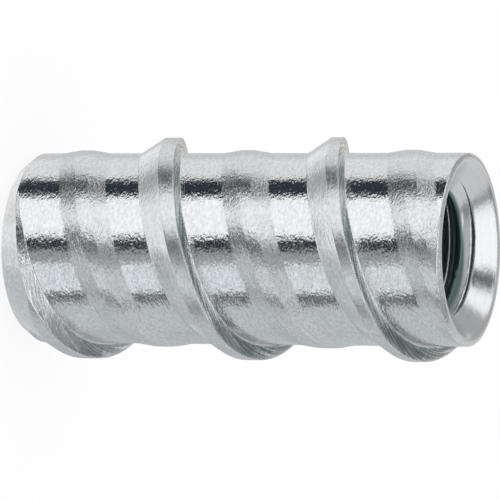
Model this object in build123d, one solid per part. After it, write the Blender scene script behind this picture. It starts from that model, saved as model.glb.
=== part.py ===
from build123d import *
import math
import os

# Internal thread anchor: one piece of plated steel that stands on its closed tip with its mouth up.
# Lengths are millimetres and angles are degrees. The origin is the middle of the tip face, and +Z runs
# along the axis to the mouth.

# Body
body_diameter = 13.0
body_length = 31.75
tip_face_diameter = 11.4
tip_cone_angle = 38.0  # between the tip's cone and the axis
tip_edge_width = 0.2  # the broken edge between the tip face and the cone, along each of them
mouth_bevel_width = 0.18  # across the mouth's outer edge, where no ridge runs
mouth_bevel_angle = 60.0  # between the mouth's outer bevel and the axis

# Cutting thread on the outside: right-hand, one start, with a sloping flank towards the tip, a flat crest
# and a steep flank towards the mouth
thread_lead = 11.78
thread_height = 1.06
thread_crest_width = 1.05
thread_slope_width = 1.6
thread_steep_width = 0.14
thread_edge_bevel = 0.12  # on the sharp edge between the crest and the steep flank
thread_start_angle = 204.6  # where that edge crosses the plane of the tip face

# Low rounded ridge that runs between the turns of the cutting thread
ridge_width = 3.4
ridge_height = 0.2
ridge_offset = 4.85  # along the axis, from the crest's edge towards the mouth to the ridge's middle

# Blind tapped hole, at the minor diameter of its thread
hole_diameter = 7.94
hole_depth = 21.0
hole_point_angle = 59.0  # between the drill point's cone and the axis
countersink_diameter = 12.0  # where the countersink's cone would reach the mouth
countersink_angle = 45.0  # between the countersink and the axis
mouth_diameter = 12.34  # where the lip reaches the mouth
lip_angle = 67.5  # between the lip's cone and the axis

# How far pieces run into each other before they are joined, and past each other before they are cut
overrun = 0.3

full_turn = 360.0
body_radius = body_diameter / 2
crest_radius = body_radius + thread_height
core_radius = body_radius - overrun
thread_foot = thread_crest_width + thread_slope_width


def lead_outline(crest_edge):
    """The outside over one lead: cutting thread, body, low ridge, body. X is the radius, Y the axis."""
    ridge_middle = crest_edge + ridge_offset
    ridge_low = (body_radius, ridge_middle - ridge_width / 2)
    ridge_high = (body_radius, ridge_middle + ridge_width / 2)
    ridge_pull = (body_radius + 2 * ridge_height, ridge_middle)
    bevel_drop = thread_steep_width * thread_edge_bevel / thread_height
    thread = Polyline(
        (body_radius, crest_edge - thread_foot),
        (crest_radius, crest_edge - thread_crest_width),
        (crest_radius, crest_edge - thread_edge_bevel),
        (crest_radius - thread_edge_bevel, crest_edge + bevel_drop),
        (body_radius, crest_edge + thread_steep_width),
        ridge_low,
    )
    ridge = Bezier(ridge_low, ridge_pull, ridge_high)
    body = Line(ridge_high, (body_radius, crest_edge - thread_foot + thread_lead))
    return [*thread.edges(), ridge, body]


def sleeve_section():
    """The section of the rolled outside, from a whole lead below the tip to just past the mouth."""
    leads = math.ceil((body_length + overrun + thread_foot) / thread_lead) + 1
    low = -thread_lead - thread_foot
    high = low + leads * thread_lead
    inner_radius = core_radius - overrun
    outline = []
    for lead in range(leads):
        outline += lead_outline((lead - 1) * thread_lead)
    back = Polyline((body_radius, high), (inner_radius, high), (inner_radius, low), (body_radius, low))
    return make_face([*outline, *back.edges()])


def rolled_blank():
    """The bar with its rolled outside. Two half turns of one section close on each other a lead higher."""
    path = Helix(thread_lead, thread_lead / 2, body_radius)
    first_half = sweep(Plane.XZ * sleeve_section(), path, is_frenet=True)
    second_half = Pos(0, 0, thread_lead / 2) * Rot(0, 0, full_turn / 2) * first_half
    core = Pos(0, 0, body_length / 2) * Cylinder(core_radius, body_length + 2 * overrun)
    return Rot(0, 0, thread_start_angle) * (first_half + second_half + core)


def envelope():
    """The turned outline that trims the blank: tip face, tip cone, bevel at the mouth, flat mouth."""
    tip_radius = tip_face_diameter / 2
    outer_radius = crest_radius + overrun
    rim_radius = body_radius - mouth_bevel_width
    cone_slope = math.radians(tip_cone_angle)
    cone_height = (outer_radius - tip_radius) / math.tan(cone_slope)
    bevel_height = (outer_radius - rim_radius) / math.tan(math.radians(mouth_bevel_angle))
    outline = Polyline(
        (0, 0),
        (tip_radius - tip_edge_width, 0),
        (tip_radius + tip_edge_width * math.sin(cone_slope), tip_edge_width * math.cos(cone_slope)),
        (outer_radius, cone_height),
        (outer_radius, body_length - bevel_height),
        (rim_radius, body_length),
        (0, body_length),
        close=True,
    )
    return revolve(Plane.XZ * make_face(outline), Axis.Z)


def tapped_hole():
    """The blind hole with its drill point, countersink and lip, as the solid that is cut away."""
    hole_radius = hole_diameter / 2
    countersink_radius = countersink_diameter / 2
    mouth_radius = mouth_diameter / 2
    countersink_slope = math.tan(math.radians(countersink_angle))
    lip_slope = math.tan(math.radians(lip_angle))
    countersink_depth = (countersink_radius - hole_radius) / countersink_slope
    lip_depth = (mouth_radius - countersink_radius) / (lip_slope - countersink_slope)
    lip_radius = mouth_radius - lip_depth * lip_slope
    point_depth = hole_radius / math.tan(math.radians(hole_point_angle))
    floor = body_length - hole_depth
    outline = Polyline(
        (0, floor - point_depth),
        (hole_radius, floor),
        (hole_radius, body_length - countersink_depth),
        (lip_radius, body_length - lip_depth),
        (mouth_radius + overrun * lip_slope, body_length + overrun),
        (0, body_length + overrun),
        close=True,
    )
    return revolve(Plane.XZ * make_face(outline), Axis.Z)


def anchor_body():
    return (rolled_blank() & envelope()) - tapped_hole()


os.makedirs("parts", exist_ok=True)
export_step(anchor_body(), "parts/anchor_body.step")
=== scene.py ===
import math
import bpy
import numpy as np
from mathutils import Matrix, Vector


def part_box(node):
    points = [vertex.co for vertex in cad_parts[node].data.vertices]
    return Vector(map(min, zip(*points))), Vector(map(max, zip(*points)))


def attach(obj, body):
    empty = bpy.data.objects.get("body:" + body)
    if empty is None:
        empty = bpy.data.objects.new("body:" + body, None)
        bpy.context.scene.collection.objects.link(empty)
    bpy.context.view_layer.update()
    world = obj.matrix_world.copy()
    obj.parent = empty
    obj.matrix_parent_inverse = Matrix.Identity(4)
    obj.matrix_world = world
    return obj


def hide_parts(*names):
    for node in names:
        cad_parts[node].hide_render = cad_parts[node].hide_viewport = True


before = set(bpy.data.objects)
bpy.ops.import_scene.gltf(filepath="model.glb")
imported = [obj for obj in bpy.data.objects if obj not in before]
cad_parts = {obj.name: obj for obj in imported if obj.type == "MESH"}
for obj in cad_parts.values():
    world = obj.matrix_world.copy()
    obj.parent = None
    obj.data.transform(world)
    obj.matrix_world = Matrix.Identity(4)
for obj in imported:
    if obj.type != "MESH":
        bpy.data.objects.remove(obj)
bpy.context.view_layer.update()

# Internal thread anchor of plated steel, standing on its tip. Sizes are millimetres in this script, and
# the mesh is scaled to metres at the end. Angles round the axis are radians.
MM = 0.001
TURN = 2 * math.pi

cad_low, cad_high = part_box("anchor_body")
body_length = cad_high[2] / MM
crest_radius = min(cad_high[0] - cad_low[0], cad_high[1] - cad_low[1]) / 2 / MM

# Outside: body, tip cone and mouth
body_radius = 6.5
tip_radius = 5.7
tip_cone_slope = math.tan(math.radians(38))
tip_edge_round = 0.25
tip_crease_round = 0.06
rim_radius = 6.32
mouth_cone_slope = math.tan(math.radians(60))
mouth_edge_round = 0.05
mouth_band = 0.95  # the height below the mouth in which the rows are level rings
bevel_band = 0.3  # the part of that height in which they lie close together

# Cutting thread: the crest and the slope have a width at the tip and a narrower one at the mouth
thread_lead = 11.78
start_angle = math.radians(204.6)
thread_height = crest_radius - body_radius
crest_widths = (1.33, 0.72)
slope_widths = (1.83, 1.62)
steep_width = 0.14
full_thread_height = 5.1  # below this height, near the thread's start, the steep flank leans and is wider
start_lean = 0.25  # how much wider it is for each millimetre below that height
corner_round = 0.04
lead_margin = 3.3  # below a crest edge, where its lead begins

# Low ridge between the turns of the cutting thread, with a flat top and sloping sides
ridge_width = 3.4
ridge_side = 1.25
ridge_height = 0.2
ridge_offset = 4.85
ridge_round = 0.08

# Blind hole: lip, countersink, 3/8 in-16 thread, plain end and drill point
countersink_radius = 6.0
countersink_angle = math.pi / 4  # from the axis to the countersink's wall
countersink_swell = 0.015
lip_round = 0.41
pitch = 1.5875
tapped_start = math.radians(239)
minor_radius = 3.97
major_radius = 4.7625
thread_top_flat = 0.42
thread_root_flat = 0.25
thread_flank = (pitch - thread_top_flat - thread_root_flat) / 2
tapped_depth = 18.3
run_out = 1.2
hole_depth = 21.0
point_slope = math.tan(math.radians(59))
tapped_ring_depth = 2.15  # down to here the rows of the hole are level rings
hole_shade_depth = 1.8  # from here down the hole's colour is darkened, as painted shade deep in the hole
hole_shade_fade = 0.15
glint_reach = 0.3  # to both sides of the root's lower corner, where a painted glint lightens the painted shade of the thread

# Grid of the mesh: columns round the axis, and rings or rows over each part of the outline
outer_columns = 320
inner_columns = outer_columns // 2
merge_gap = 0.02  # a row that comes nearer than this to a ring ends on it
spare_leads = 2  # leads of rows beyond the two rings, so that every column is filled
tip_edge_rings = 6
cone_shares = (0.25, 0.5, 0.75)
crease_rings = 7
band_rings = 9
bevel_rings = 14
lip_rings = 7
countersink_rings = 9
tapped_rings = 25
corner_spread = np.array([-1.5, -0.75, 0, 0.75, 1.5])  # rows at a corner, as multiples of its rounding
slope_shares = (0.8, 0.6, 0.4, 0.2)
crest_shares = (0.75, 0.5, 0.25)
ridge_side_shares = (0.4, 0.6)
rows_below_ridge = 6  # both ends are counted here and below, though the corners' rows replace them
rows_above_ridge = 5
corner_samples = 9
halvings = 40

outer_angles = np.arange(outer_columns) * TURN / outer_columns
inner_angles = outer_angles[::2]


class Shell:
    """The points and faces of one closed mesh, added from the tip's middle round to the hole's bottom."""

    def __init__(self):
        self.points = []
        self.outside = []
        self.faces = []

    def add(self, angle, radius, height, outside):
        self.points.append((angle, radius, height))
        self.outside.append(outside)
        return len(self.points) - 1

    def ring(self, angles, radius, height, outside=True):
        """A closed ring of points. The radius and the height are one number each or one for each angle."""
        radii = np.broadcast_to(radius, angles.shape)
        heights = np.broadcast_to(height, angles.shape)
        return [self.add(*values, outside) for values in zip(angles, radii, heights)]

    def join(self, first, second):
        """Faces between two rings with equally many points."""
        for here in range(len(first)):
            after = (here + 1) % len(first)
            self.faces.append((first[here], first[after], second[after], second[here]))

    def join_half(self, first, second):
        """Faces between a ring and one with half as many points."""
        for here in range(len(second)):
            after = (here + 1) % len(second)
            last = (2 * here + 2) % len(first)
            three = (first[2 * here], first[2 * here + 1], first[last])
            self.faces.append((*three, second[after], second[here]))

    def close(self, ring, height, outside, starts):
        """A fan of faces from a ring to a point on the axis, at the start or the end of the shell."""
        middle = self.add(0, 0, height, outside)
        for here in range(len(ring)):
            pair = (ring[here], ring[(here + 1) % len(ring)])
            self.faces.append((middle, *pair[::-1]) if starts else (*pair, middle))

    def helical_rows(self, angles, lead, edges, rows, radius, low, high, low_ring, high_ring, outside):
        """Rows that climb with a thread between two rings, and end on a ring where they would pass it.

        edges gives the thread's height at each angle and rows the heights of one lead's rows above it.
        """
        first = math.floor(low.min() / lead) - spare_leads
        last = math.ceil(high / lead) + spare_leads
        heights = np.vstack([rows(edges + number * lead) for number in range(first, last + 1)])
        per_lead = len(heights) // (last - first + 1)
        radii = radius(np.broadcast_to(angles, heights.shape), heights)
        index = np.zeros(heights.shape, dtype=int)
        for row, column in np.ndindex(heights.shape):
            height = heights[row, column]
            if height < low[column] + merge_gap:
                index[row, column] = low_ring[column]
            elif height > high - merge_gap:
                index[row, column] = high_ring[column]
            else:
                index[row, column] = self.add(angles[column], radii[row, column], height, outside)
        after = np.roll(index, -1, axis=1)
        after[:-per_lead, -1] = index[per_lead:, 0]
        after[-per_lead:, -1] = high_ring[0]
        for row, column in np.ndindex(len(index) - 1, len(angles)):
            lower = (index[row, column], after[row, column])
            upper = (after[row + 1, column], index[row + 1, column])
            corners = tuple(dict.fromkeys(int(corner) for corner in (*lower, *upper)))
            if len(corners) > 2:
                self.faces.append(corners if outside else corners[::-1])


def smooth_min(first, second, width):
    """The lower of two radii, with the corner between them rounded over about that width."""
    share = np.clip(0.5 + (second - first) / (2 * width), 0, 1)
    return second + (first - second) * share - width * share * (1 - share)


def rounded(profile, place, reach):
    """A profile with its corners rounded: its mean over a short reach to both sides."""
    shifts = np.linspace(-reach, reach, corner_samples)
    return sum(profile(place + shift) for shift in shifts) / len(shifts)


def along_body(values, height):
    """A width that changes evenly from the tip to the mouth."""
    share = np.clip(height / body_length, 0, 1)
    return values[0] + (values[1] - values[0]) * share


def crest_edge(angle):
    """The height at which the crest's upper edge passes that angle on its first turn."""
    return thread_lead * (angle - start_angle) / TURN


def place_on_lead(angle, height):
    """The height of the crest edge that a point belongs to, and how far above that edge the point lies."""
    edge = crest_edge(angle)
    edge = edge + thread_lead * np.floor((height - edge + lead_margin) / thread_lead)
    return edge, height - edge


def steep_reach(edge):
    """The width of the steep flank where the crest's edge has that height."""
    return steep_width + start_lean * np.clip(full_thread_height - edge, 0, full_thread_height)


def rolled_relief(edge, offset):
    """How far the rolled outside stands above the body: the cutting thread, then the low ridge."""
    crest = along_body(crest_widths, edge)
    slope = along_body(slope_widths, edge)
    steep = steep_reach(edge)

    def thread(place):
        rise = np.clip((place + crest + slope) / slope, 0, 1)
        drop = np.clip((steep_width - place) / steep, 0, 1)
        return thread_height * np.minimum(rise, drop)

    def ridge(place):
        return ridge_height * np.clip((ridge_width / 2 - np.abs(place - ridge_offset)) / ridge_side, 0, 1)

    return rounded(thread, offset, corner_round) + rounded(ridge, offset, ridge_round)


def rolled_radius(angle, height):
    return body_radius + rolled_relief(*place_on_lead(angle, height))


def outer_radius(angle, height):
    """The rolled outside, trimmed by the tip's cone and by the bevel round the mouth."""
    tip_cone = tip_radius + height * tip_cone_slope
    mouth_cone = rim_radius + (body_length - height) * mouth_cone_slope
    trimmed = smooth_min(rolled_radius(angle, height), tip_cone, tip_crease_round)
    return smooth_min(trimmed, mouth_cone, mouth_edge_round)


def tip_crease(angles):
    """The height at which the tip's cone meets the rolled outside, found by halving."""
    low = np.zeros_like(angles)
    high = np.full_like(angles, (crest_radius - tip_radius) / tip_cone_slope + merge_gap)
    for _ in range(halvings):
        middle = (low + high) / 2
        inside = tip_radius + middle * tip_cone_slope < rolled_radius(angles, middle)
        low = np.where(inside, middle, low)
        high = np.where(inside, high, middle)
    return (low + high) / 2


def outer_rows(edge):
    """Heights of the rows over one lead, close together at every corner of the profile."""
    crest = along_body(crest_widths, edge)
    slope = along_body(slope_widths, edge)
    steep = steep_reach(edge)
    flank_top = edge + steep_width - steep
    corner = corner_spread * corner_round
    ridge_corner = corner_spread * ridge_round
    ridge_low = ridge_offset - ridge_width / 2
    ridge_high = ridge_offset + ridge_width / 2
    rows = [edge - crest - slope + shift for shift in corner]
    rows += [edge - crest - slope * share for share in slope_shares]
    rows += [edge - crest + shift for shift in corner]
    rows += [flank_top - (flank_top - edge + crest) * share for share in crest_shares]
    rows += [flank_top + shift for shift in corner]
    rows += [flank_top + steep / 2]
    rows += [edge + steep_width + shift for shift in corner]
    rows += [edge + height for height in np.linspace(steep_width, ridge_low, rows_below_ridge)[1:-1]]
    for low, high in ((ridge_low, ridge_low + ridge_side), (ridge_high - ridge_side, ridge_high)):
        rows += [edge + low + shift for shift in ridge_corner]
        rows += [edge + low + (high - low) * share for share in ridge_side_shares]
        rows += [edge + high + shift for shift in ridge_corner]
    above_ridge = np.linspace(ridge_high, thread_lead - lead_margin, rows_above_ridge)[1:-1]
    rows += [edge + height for height in above_ridge]
    return np.array(rows)


def tapped_edge(angle):
    """The height at which the middle of a top of the internal thread passes that angle."""
    return pitch * (angle - tapped_start) / TURN


def tapped_place(angle, height):
    """How far above the middle of a top of the internal thread a point lies, within one pitch."""
    return (height - tapped_edge(angle)) % pitch


def tapped_relief(angle, height):
    """How deep the internal thread is cut at a point, from 0 at its top to 1 at its root."""
    place = tapped_place(angle, height)
    rise = np.clip((place - thread_top_flat / 2) / thread_flank, 0, 1)
    drop = np.clip((pitch - thread_top_flat / 2 - place) / thread_flank, 0, 1)
    return np.minimum(rise, drop)


def hole_radius(angle, height):
    """The hole's wall: the thread with its run-out, opened by the countersink."""
    depth = body_length - height
    fade = np.clip((tapped_depth - depth) / run_out, 0, 1)
    thread = minor_radius + (major_radius - minor_radius) * tapped_relief(angle, height) * fade
    share = np.clip(depth / (countersink_radius - minor_radius), 0, 1)
    countersink = countersink_radius - depth - 4 * countersink_swell * share * (1 - share)
    return -smooth_min(-thread, -countersink, corner_round / 2)


def tapped_rows(edge):
    """Heights of the rows over one pitch of the internal thread."""
    first = thread_top_flat / 2
    soft = corner_round / 2
    corners = (first, first + thread_flank, first + thread_flank + thread_root_flat, pitch - first)
    places = [corner + side * soft for corner in corners for side in (-1, 1)]
    places += [first + thread_flank / 2, pitch - first - thread_flank / 2]
    return np.array([edge + place for place in sorted(places)])


def build_shell():
    """The whole surface: tip, rolled outside, mouth, countersink, internal thread and drill point."""
    shell = Shell()
    crease = tip_crease(outer_angles)
    margin = tip_crease_round

    # Tip face with a rounded edge, the cone, and the crease where the cone meets the rolled outside
    flat = tip_radius - tip_edge_round
    ring = shell.ring(outer_angles, flat / 2, 0)
    shell.close(ring, 0, True, starts=True)
    rings = [ring]
    edge_turn = math.atan(1 / tip_cone_slope)
    edge_radius = tip_edge_round / math.tan(edge_turn / 2)
    for share in np.linspace(0, 1, tip_edge_rings):
        turn = edge_turn * share
        reach = flat + edge_radius * math.sin(turn)
        rings.append(shell.ring(outer_angles, reach, edge_radius * (1 - math.cos(turn))))
    edge_top = edge_radius * (1 - math.cos(edge_turn))
    for share in cone_shares:
        height = edge_top + (crease - margin - edge_top) * share
        rings.append(shell.ring(outer_angles, outer_radius(outer_angles, height), height))
    for shift in np.linspace(-margin, margin, crease_rings):
        height = crease + shift
        rings.append(shell.ring(outer_angles, outer_radius(outer_angles, height), height))
    for first, second in zip(rings, rings[1:]):
        shell.join(first, second)

    # Rolled outside up to the mouth's band, and level rings from there to the rim
    band = body_length - mouth_band
    high_ring = shell.ring(outer_angles, outer_radius(outer_angles, band), band)
    shell.helical_rows(outer_angles, thread_lead, crest_edge(outer_angles), outer_rows, outer_radius,
                       crease + margin, band, rings[-1], high_ring, True)
    bevel = body_length - bevel_band
    band_heights = np.linspace(band, bevel, band_rings)[1:]
    bevel_heights = np.linspace(bevel, body_length, bevel_rings)[1:]
    for height in [*band_heights, *bevel_heights]:
        ring = shell.ring(outer_angles, outer_radius(outer_angles, height), height)
        shell.join(high_ring, ring)
        high_ring = ring

    # Flat rim, rounded lip and countersink
    lip_reach = lip_round * math.tan(countersink_angle / 2)
    last = None
    for turn in np.linspace(0, countersink_angle, lip_rings):
        radius = countersink_radius + lip_reach - lip_round * math.sin(turn)
        height = body_length - lip_round * (1 - math.cos(turn))
        ring = shell.ring(inner_angles, radius, height, False)
        if last is None:
            shell.join_half(high_ring, ring)
        else:
            shell.join(last, ring)
        last = ring
    lip_depth = lip_round * (1 - math.cos(countersink_angle))
    cone_depth = countersink_radius - major_radius - corner_round
    cone_depths = np.linspace(lip_depth, cone_depth, countersink_rings)[1:]
    thread_depths = np.linspace(cone_depth, tapped_ring_depth, tapped_rings)[1:]
    for depth in [*cone_depths, *thread_depths]:
        height = body_length - depth
        ring = shell.ring(inner_angles, hole_radius(inner_angles, height), height, False)
        shell.join(last, ring)
        last = ring

    # Internal thread down to its run-out, the plain end of the hole and the drill point
    tapped_end = body_length - tapped_depth
    low_ring = shell.ring(inner_angles, minor_radius, tapped_end, False)
    shell.helical_rows(inner_angles, pitch, tapped_edge(inner_angles), tapped_rows, hole_radius,
                       np.full(inner_columns, tapped_end), body_length - tapped_ring_depth,
                       low_ring, last, False)
    floor_ring = shell.ring(inner_angles, minor_radius, body_length - hole_depth, False)
    shell.join(low_ring, floor_ring)
    shell.close(floor_ring, body_length - hole_depth - minor_radius / point_slope, False, starts=False)
    return shell


def surface_masks(angle, radius, height, outside):
    """Where the kinds of surface are, from 0 to 1, and each point's place along and across the thread."""
    edge, offset = place_on_lead(angle, height)
    crest = along_body(crest_widths, edge)
    slope = along_body(slope_widths, edge)
    flank_top = steep_width - steep_reach(edge)
    soft = 2 * corner_round
    rolled = np.clip((tip_radius + height * tip_cone_slope - radius) / tip_crease_round, 0, 1) * outside
    root_corner = (pitch - thread_root_flat) / 2
    # A painted glint along each root's lower corner of the internal thread
    root_glint = np.clip(1 - np.abs(tapped_place(angle, height) - root_corner) / glint_reach, 0, 1)
    hole_shade = np.clip((body_length - hole_shade_depth - height) / hole_shade_fade, 0, 1)

    def band(low, high):
        above = np.clip((offset - low) / soft + 0.5, 0, 1)
        below = np.clip((high - offset) / soft + 0.5, 0, 1)
        return above * below * rolled

    return {
        "flank": band(flank_top, steep_width),
        "slope": band(-crest - slope, -crest),
        "crest": band(-crest, flank_top),
        "ridge": band(ridge_offset - ridge_width / 2, ridge_offset + ridge_width / 2),
        "turned": 1 - outside,
        # Painted shade deep in the hole, less where the painted glint lies
        "painted_hole_shade": hole_shade * (1 - root_glint) * (1 - outside),
        "travel": edge,
        "reach": radius,
    }


def mark_places(angle, radius, height, outside):
    """Places for the streaks, which follow the thread outside and run round the axis inside the hole.

    Outside, X and Y turn once from one turn of the thread to the next, and Z climbs along it.
    """
    turned = angle - TURN * height / thread_lead
    rolled = np.stack([np.cos(turned), np.sin(turned), height / thread_lead], axis=1)
    cut = np.stack([radius, height, np.zeros_like(height)], axis=1) * TURN / thread_lead
    return np.where(outside[:, None] > 0, rolled, cut)


def add_object(name, data):
    """A new object in the scene."""
    item = bpy.data.objects.new(name, data)
    bpy.context.collection.objects.link(item)
    return item


def add_anchor(material):
    shell = build_shell()
    angle, radius, height = np.array(shell.points).T
    places = np.stack([radius * np.cos(angle), radius * np.sin(angle), height], axis=1) * MM
    mesh = bpy.data.meshes.new("anchor_finish")
    mesh.from_pydata(places.tolist(), [], shell.faces)
    mesh.polygons.foreach_set("use_smooth", np.ones(len(mesh.polygons), dtype=bool))
    outside = np.array(shell.outside, dtype=float)
    for name, values in surface_masks(angle, radius, height, outside).items():
        mesh.attributes.new(name, "FLOAT", "POINT").data.foreach_set("value", values.astype(np.float32))
    marks = mark_places(angle, radius, height, outside).astype(np.float32).ravel()
    mesh.attributes.new("marks", "FLOAT_VECTOR", "POINT").data.foreach_set("vector", marks)
    mesh.materials.append(material)
    mesh.update()
    return add_object("anchor_finish", mesh)


# Finish: colours, and how far each kind of mark stands out of the surface
steel_color = (0.8, 0.81, 0.825, 1)
flank_color = (0.26, 0.32, 0.315, 1)
# Colour of the painted shade deep in the hole
painted_hole_shade_color = (0.15, 0.22, 0.215, 1)
fine_grain_depth = 0.018
coarse_grain_depth = 0.013
wave_depth = 0.012
streak_depth = 0.006
scratch_depth = 0.003
scratch_climb = 1.0  # how far a scratch climbs the flank while the thread climbs a millimetre
scratch_change = 0.1  # how fast the scratches change along the thread, against across them
dull_heights = (2.5, 8.0)  # between these the steep flank, brighter at the thread's start, grows dull
start_dullness = 0.35
grain_stretch = (1, 1, 1.6)
streak_stretch = (12, 12, 4)

# Noise of each kind of mark: its scale, its detail and, where it isn't a half, its roughness
fine_noise = (4.8, 2.0)
coarse_noise = (2.5, 1.0)
wave_noise = (1.1, 1.0)
patch_noise = (0.6, 1.0)
speck_noise = (4.0, 2.0)
stain_noise = (3.4, 2.0, 0.6)
streak_noise = (1.0, 3.0, 0.6)
scratch_noise = (11.0, 2.0)
noise_mean = 0.5

# The values of that noise between which a mark grows to its full strength, and the tones it gives
patch_range = (0.35, 0.65)
speck_range = (0.54, 0.66)
stain_range = (0.35, 0.65)
streak_range = (0.3, 0.7)
scratch_range = (0.5, 0.6)
stain_tones = (-0.11, 0.08)
streak_tones = (0.96, 1.04)

# Strength of the grain on the plain body, what each kind of surface adds, and what turning takes away
plain_coarseness = 0.85
ridge_coarseness = 0.2
slope_coarseness = -0.5
crest_coarseness = -0.3
patch_coarseness = 0.3
turned_smoothness = 0.8

# Roughness of the plain body, and what each kind of surface or mark adds to it
plain_roughness = 0.06
ridge_roughness = 0.15
slope_roughness = 0.06
crest_roughness = 0.2
flank_roughness = 0.08
turned_roughness = 0.12
streak_roughness = 0.05
speck_roughness = 0.09
bore_roughness = 0.2


class Nodes:
    """A short way to add nodes to a material or the world: inputs are numbers, or sockets of nodes."""

    def __init__(self, tree):
        self.tree = tree
        tree.nodes.clear()

    def add(self, kind, settings=None, **inputs):
        """A node with its inputs by name, or as i0, i1 and so on by number."""
        node = self.tree.nodes.new(kind)
        for name, value in (settings or {}).items():
            setattr(node, name, value)
        for name, value in inputs.items():
            place = int(name[1:]) if name[0] == "i" and name[1:].isdigit() else name.replace("_", " ")
            if isinstance(value, bpy.types.NodeSocket):
                self.tree.links.new(value, node.inputs[place])
            else:
                node.inputs[place].default_value = value
        return node

    def math(self, operation, first, second=0.0, third=0.0):
        node = self.add("ShaderNodeMath", {"operation": operation}, i0=first, i1=second, i2=third)
        return node.outputs[0]

    def stretched(self, vector, factors):
        node = self.add("ShaderNodeVectorMath", {"operation": "MULTIPLY"}, i0=vector, i1=factors)
        return node.outputs["Vector"]

    def scaled(self, vector, factor):
        node = self.add("ShaderNodeVectorMath", {"operation": "SCALE"}, i0=vector, Scale=factor)
        return node.outputs["Vector"]

    def attribute(self, name, output="Fac"):
        return self.add("ShaderNodeAttribute", {"attribute_name": name}).outputs[output]

    def noise(self, vector, scale, detail, roughness=0.5):
        return self.add("ShaderNodeTexNoise", Vector=vector, Scale=scale, Detail=detail,
                        Roughness=roughness).outputs["Fac"]

    def spread(self, value, low, high, to_low, to_high):
        """The value carried from one range to another, held at its ends."""
        return self.add("ShaderNodeMapRange", Value=value, From_Min=low, From_Max=high, To_Min=to_low,
                        To_Max=to_high).outputs["Result"]

    def mix(self, factor, first, second):
        """Two colours mixed. The mix node keeps its colours in sockets 6 and 7 and its result in 2."""
        return self.add("ShaderNodeMix", {"data_type": "RGBA"}, i0=factor, i6=first, i7=second).outputs[2]

    def total(self, *terms):
        """The sum of values, each with its weight."""
        result = 0.0
        for value, weight in terms:
            result = self.math("MULTIPLY_ADD", value, weight, result)
        return result


def new_material(name):
    """A material and its nodes, with none in it yet."""
    material = bpy.data.materials.new(name)
    material.use_nodes = True
    return material, Nodes(material.node_tree)


def plated_steel():
    """Bright zinc over rolled steel: grain, streaks along the thread, scratches on the steep flank."""
    material, nodes = new_material("zinc_plated_steel")
    in_mm = nodes.scaled(nodes.add("ShaderNodeTexCoord").outputs["Object"], 1 / MM)
    flank, slope, crest, ridge = [nodes.attribute(name) for name in ("flank", "slope", "crest", "ridge")]
    turned, painted_hole_shade, travel, reach = [nodes.attribute(name) for name in ("turned", "painted_hole_shade", "travel", "reach")]

    # Grain of the rolled surface over slow waves, finer on the thread and coarser on the low ridge
    in_grain = nodes.stretched(in_mm, grain_stretch)
    fine_grain = nodes.math("SUBTRACT", nodes.noise(in_grain, *fine_noise), noise_mean)
    coarse_grain = nodes.math("SUBTRACT", nodes.noise(in_grain, *coarse_noise), noise_mean)
    waves = nodes.noise(in_mm, *wave_noise)
    patches = nodes.spread(nodes.noise(in_mm, *patch_noise), *patch_range, 0.0, 1.0)
    coarseness = nodes.total((ridge, ridge_coarseness), (slope, slope_coarseness),
                             (crest, crest_coarseness), (patches, patch_coarseness))
    rolled = nodes.math("MULTIPLY_ADD", turned, -turned_smoothness, 1.0)
    grain = nodes.total((fine_grain, fine_grain_depth), (coarse_grain, coarse_grain_depth))
    grain = nodes.math("MULTIPLY", grain, nodes.math("ADD", coarseness, plain_coarseness))
    grain_height = nodes.math("MULTIPLY", grain, rolled)

    # Fine streaks that follow the thread outside, and turning marks inside
    marks = nodes.stretched(nodes.attribute("marks", "Vector"), streak_stretch)
    streaks = nodes.noise(marks, *streak_noise)

    # Scratches that climb across the steep flank from its root to its crest
    across = nodes.math("MULTIPLY_ADD", travel, -scratch_climb, reach)
    along = nodes.math("MULTIPLY", travel, scratch_change)
    scratch_place = nodes.add("ShaderNodeCombineXYZ", X=across, Y=along).outputs["Vector"]
    scratches = nodes.spread(nodes.noise(scratch_place, *scratch_noise), *scratch_range, 0.0, 1.0)
    flank_scratches = nodes.math("MULTIPLY", scratches, flank)

    height = nodes.total((waves, wave_depth), (streaks, streak_depth), (flank_scratches, scratch_depth))
    height = nodes.math("ADD", height, grain_height)
    bump = nodes.add("ShaderNodeBump", Height=height, Strength=1.0, Distance=MM)

    # Faint stains and streaks in the plating's colour, the dull flank, and painted shade deep in the hole
    # with a painted glint along each thread root
    stains = nodes.spread(nodes.noise(in_grain, *stain_noise), *stain_range, *stain_tones)
    stains = nodes.math("MULTIPLY", stains, rolled)
    tone = nodes.math("ADD", nodes.spread(streaks, *streak_range, *streak_tones), stains)
    plated = nodes.scaled(steel_color[:3], tone)
    dull = nodes.math("MULTIPLY", flank, nodes.spread(travel, *dull_heights, start_dullness, 1.0))
    dulled = nodes.math("MULTIPLY", dull, nodes.math("SUBTRACT", 1.0, scratches))
    # Painted shade deep in the hole, with its painted glints, is mixed into the colour
    color = nodes.mix(painted_hole_shade, nodes.mix(dulled, plated, flank_color), painted_hole_shade_color)

    # Roughness, with rougher specks on the rolled surface
    specks = nodes.spread(nodes.noise(in_grain, *speck_noise), *speck_range, 0.0, 1.0)
    specks = nodes.math("MULTIPLY", specks, rolled)
    added = nodes.total((ridge, ridge_roughness), (slope, slope_roughness), (crest, crest_roughness),
                        (flank, flank_roughness), (turned, turned_roughness), (streaks, streak_roughness),
                        (specks, speck_roughness), (painted_hole_shade, bore_roughness))
    roughness = nodes.math("ADD", added, plain_roughness)
    surface = nodes.add("ShaderNodeBsdfPrincipled", Base_Color=color, Metallic=1.0, Roughness=roughness,
                        Normal=bump.outputs["Normal"])
    nodes.add("ShaderNodeOutputMaterial", Surface=surface.outputs["BSDF"])
    return material


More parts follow.
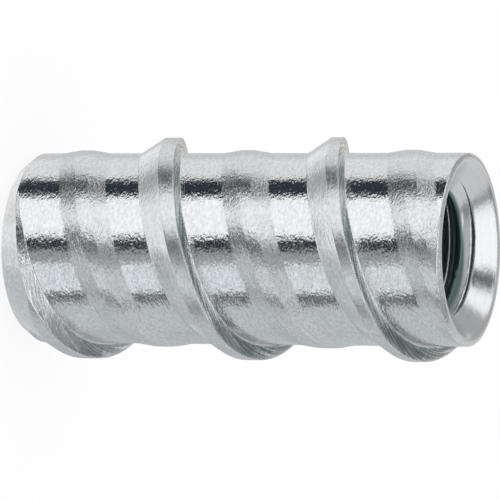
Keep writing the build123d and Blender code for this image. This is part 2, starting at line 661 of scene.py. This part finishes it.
# Studio
world_strength = 1.0
floor_size = 3.0
floor_shade = 0.12
card_distance = 0.6
card_step = 4  # degrees of a card's width or height for each of its points
neutral = (1, 1, 1, 1)
cool = (0.93, 0.98, 1.0, 1)
olive = (1.0, 0.97, 0.87, 1)
teal = (0.82, 0.97, 1.0, 1)
ink = (0.64, 0.8, 1.0, 1)

# Light and dark cards round the part: azimuth from the camera's side towards the picture's top, elevation,
# brightness and colour
cards = (
    # Where the outside mirrors the room, one beside the other from the picture's top down
    ((138, 180), (-34, -8), 0.66, neutral),
    ((92, 138), (-34, -8), 0.84, neutral),
    ((65, 92), (-34, -8), 0.05, ink),
    ((13, 65), (-34, -8), 1.08, neutral),
    ((-2, 13), (-34, -8), 0.05, ink),
    ((-18, -2), (-34, -8), 0.38, cool),
    ((-55, -18), (-34, -25), 0.62, cool),
    ((-55, -18), (-25, -18), 1.05, cool),
    ((-55, -18), (-18, -8), 0.68, cool),
    ((-66, -55), (-34, -21), 0.14, cool),
    ((-72, -55), (-21, -8), 0.16, cool),
    ((-118, -66), (-34, -21), 0.63, cool),
    ((-180, -118), (-34, -21), 0.53, cool),
    ((-180, -72), (-21, -8), 0.6, cool),
    # Above those, for the sides that lean towards the mouth
    ((164, 180), (-8, 8), 0.8, olive),
    ((128, 164), (-8, 8), 0.8, neutral),
    ((94, 128), (-8, 4), 0.8, neutral),
    ((62, 94), (-8, 4), 0.4, neutral),
    ((12, 62), (-8, 8), 1.05, neutral),
    ((-18, 12), (-8, 8), 0.45, neutral),
    ((-180, -18), (-8, 8), 0.72, neutral),
    # Below them, for the sides that lean towards the tip
    ((135, 180), (-50, -34), 0.93, neutral),
    ((105, 135), (-50, -34), 0.6, neutral),
    ((52, 105), (-50, -34), 0.12, neutral),
    ((24, 52), (-50, -34), 0.95, neutral),
    ((-8, 24), (-50, -34), 0.15, neutral),
    ((-150, -8), (-50, -34), 0.55, cool),
    ((-180, -150), (-50, -34), 0.7, cool),
    # Under the part, for the thread's slope and the tip's cone
    ((95, 125), (-76, -50), 0.42, neutral),
    ((95, 125), (-90, -76), 0.95, neutral),
    ((125, 180), (-90, -50), 0.9, neutral),
    ((-60, 95), (-90, -50), 0.95, neutral),
    ((-150, -60), (-90, -78), 0.95, neutral),
    ((-150, -60), (-78, -50), 0.61, cool),
    ((-180, -150), (-90, -50), 0.7, cool),
    # Behind the part, for the rim and the countersink
    ((128, 176), (8, 46), 0.42, neutral),
    ((176, 184), (8, 46), 0.6, neutral),
    ((184, 264), (8, 46), 0.66, neutral),
    ((95, 128), (20, 46), 0.42, neutral),
    # On the camera's side, for the steep flank's view of the room past the body
    ((95, 128), (4, 20), 0.45, teal),
    ((62, 95), (4, 20), 1.1, neutral),
    ((40, 62), (8, 20), 1.1, neutral),
    ((-96, 40), (8, 20), 0.3, neutral),
    ((36, 95), (20, 30), 1.1, neutral),
    ((36, 95), (30, 46), 0.45, teal),
    ((-40, 36), (20, 46), 0.26, teal),
    ((-96, -40), (20, 50), 0.26, teal),
    # Overhead, for the countersink on the camera's side and for the rim and the steep flank behind
    ((-40, 96), (46, 90), 1.15, neutral),
    ((-96, -40), (50, 90), 1.15, neutral),
    ((96, 184), (46, 90), 0.48, neutral),
    ((184, 264), (58, 90), 0.48, neutral),
    ((184, 264), (46, 58), 0.26, teal),
)
# Two small cards hung nearer, a dark and a light one, which the countersink mirrors
near_cards = (
    ((50, 87), (46, 70), 0.01, neutral),
    ((87, 118), (34, 60), 1.15, neutral),
)
near_distance = 0.5


def add_floor():
    """A pale floor that shows as white round the part and takes its shadow."""
    mesh = bpy.data.meshes.new("floor")
    half = floor_size / 2
    corners = [(-half, -half, 0), (half, -half, 0), (half, half, 0), (-half, half, 0)]
    mesh.from_pydata(corners, [], [(0, 1, 2, 3)])
    material, nodes = new_material("floor")
    pale = nodes.add("ShaderNodeBsdfDiffuse", Color=(floor_shade, floor_shade, floor_shade, 1))
    seen = nodes.add("ShaderNodeLightPath").outputs["Is Camera Ray"]
    glow = nodes.add("ShaderNodeEmission", Strength=nodes.math("MULTIPLY", seen, 1 - floor_shade))
    both = nodes.add("ShaderNodeAddShader", i0=pale.outputs[0], i1=glow.outputs[0])
    nodes.add("ShaderNodeOutputMaterial", Surface=both.outputs[0])
    mesh.materials.append(material)
    floor = add_object("floor", mesh)
    floor.visible_glossy = False


def add_card(azimuths, elevations, brightness, color, distance):
    """A card curved round the part, which the metal reflects and the camera doesn't see."""
    columns = max(2, round((azimuths[1] - azimuths[0]) / card_step))
    rows = max(2, round((elevations[1] - elevations[0]) / card_step))
    turns = np.radians(np.linspace(*azimuths, columns))
    rises = np.radians(np.linspace(*elevations, rows))
    turn, rise = np.meshgrid(turns, rises)
    places = np.stack([-np.sin(turn) * np.cos(rise), -np.cos(turn) * np.cos(rise), np.sin(rise)], axis=2)
    places = places.reshape(-1, 3) * distance + (0, 0, body_length / 2 * MM)
    starts = [row * columns + column for row in range(rows - 1) for column in range(columns - 1)]
    faces = [(start, start + 1, start + 1 + columns, start + columns) for start in starts]
    mesh = bpy.data.meshes.new("card")
    mesh.from_pydata(places.tolist(), [], faces)
    material, nodes = new_material("card")
    glow = nodes.add("ShaderNodeEmission", Color=color, Strength=brightness)
    nodes.add("ShaderNodeOutputMaterial", Surface=glow.outputs[0])
    mesh.materials.append(material)
    card = add_object("card", mesh)
    card.visible_camera = False
    card.visible_diffuse = False
    card.visible_shadow = False
    card.visible_transmission = False


def set_world():
    world = bpy.data.worlds.new("studio")
    world.use_nodes = True
    nodes = Nodes(world.node_tree)
    sky = nodes.add("ShaderNodeBackground", Color=neutral, Strength=world_strength)
    nodes.add("ShaderNodeOutputWorld", Surface=sky.outputs[0])
    bpy.context.scene.world = world


# Camera: the picture's width in pixels, the focal length in those pixels, and where the part's middle lies
picture_width = 500
focal_pixels = 5893.6
camera_distance = 400.1
camera_elevation = math.radians(20.544)
camera_tilt = math.radians(-0.256)
camera_shift = (-0.08, 0.083)
sensor_width = 36
near_clip = camera_distance * MM / 100
far_clip = floor_size * 4


def add_camera():
    """A camera that looks down on the standing part, turned so that its mouth is at the picture's right."""
    # The part's axis, its -X side and its -Y side, in the picture's frame: right, up, towards the viewer
    axis = Vector((math.cos(camera_elevation) * math.cos(camera_tilt),
                   math.cos(camera_elevation) * math.sin(camera_tilt), math.sin(camera_elevation)))
    top = (Vector((0, 1, 0)) - axis.y * axis).normalized()
    side = axis.cross(top)
    right, upward, back = [Vector((-top[i], -side[i], axis[i])) for i in range(3)]
    middle = Vector((0, 0, body_length / 2))
    place = middle - camera_shift[0] * right - camera_shift[1] * upward + camera_distance * back
    data = bpy.data.cameras.new("camera")
    data.sensor_width = sensor_width
    data.lens = focal_pixels * sensor_width / picture_width
    data.clip_start = near_clip
    data.clip_end = far_clip
    camera = add_object("camera", data)
    turned = Matrix((right, upward, back)).transposed().to_4x4()
    camera.matrix_world = Matrix.Translation(place * MM) @ turned
    bpy.context.scene.camera = camera


anchor = add_anchor(plated_steel())
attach(anchor, "root")
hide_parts("anchor_body")
add_floor()
for card in cards:
    add_card(*card, card_distance)
for card in near_cards:
    add_card(*card, near_distance)
set_world()
add_camera()
bpy.context.scene.view_settings.view_transform = "Standard"
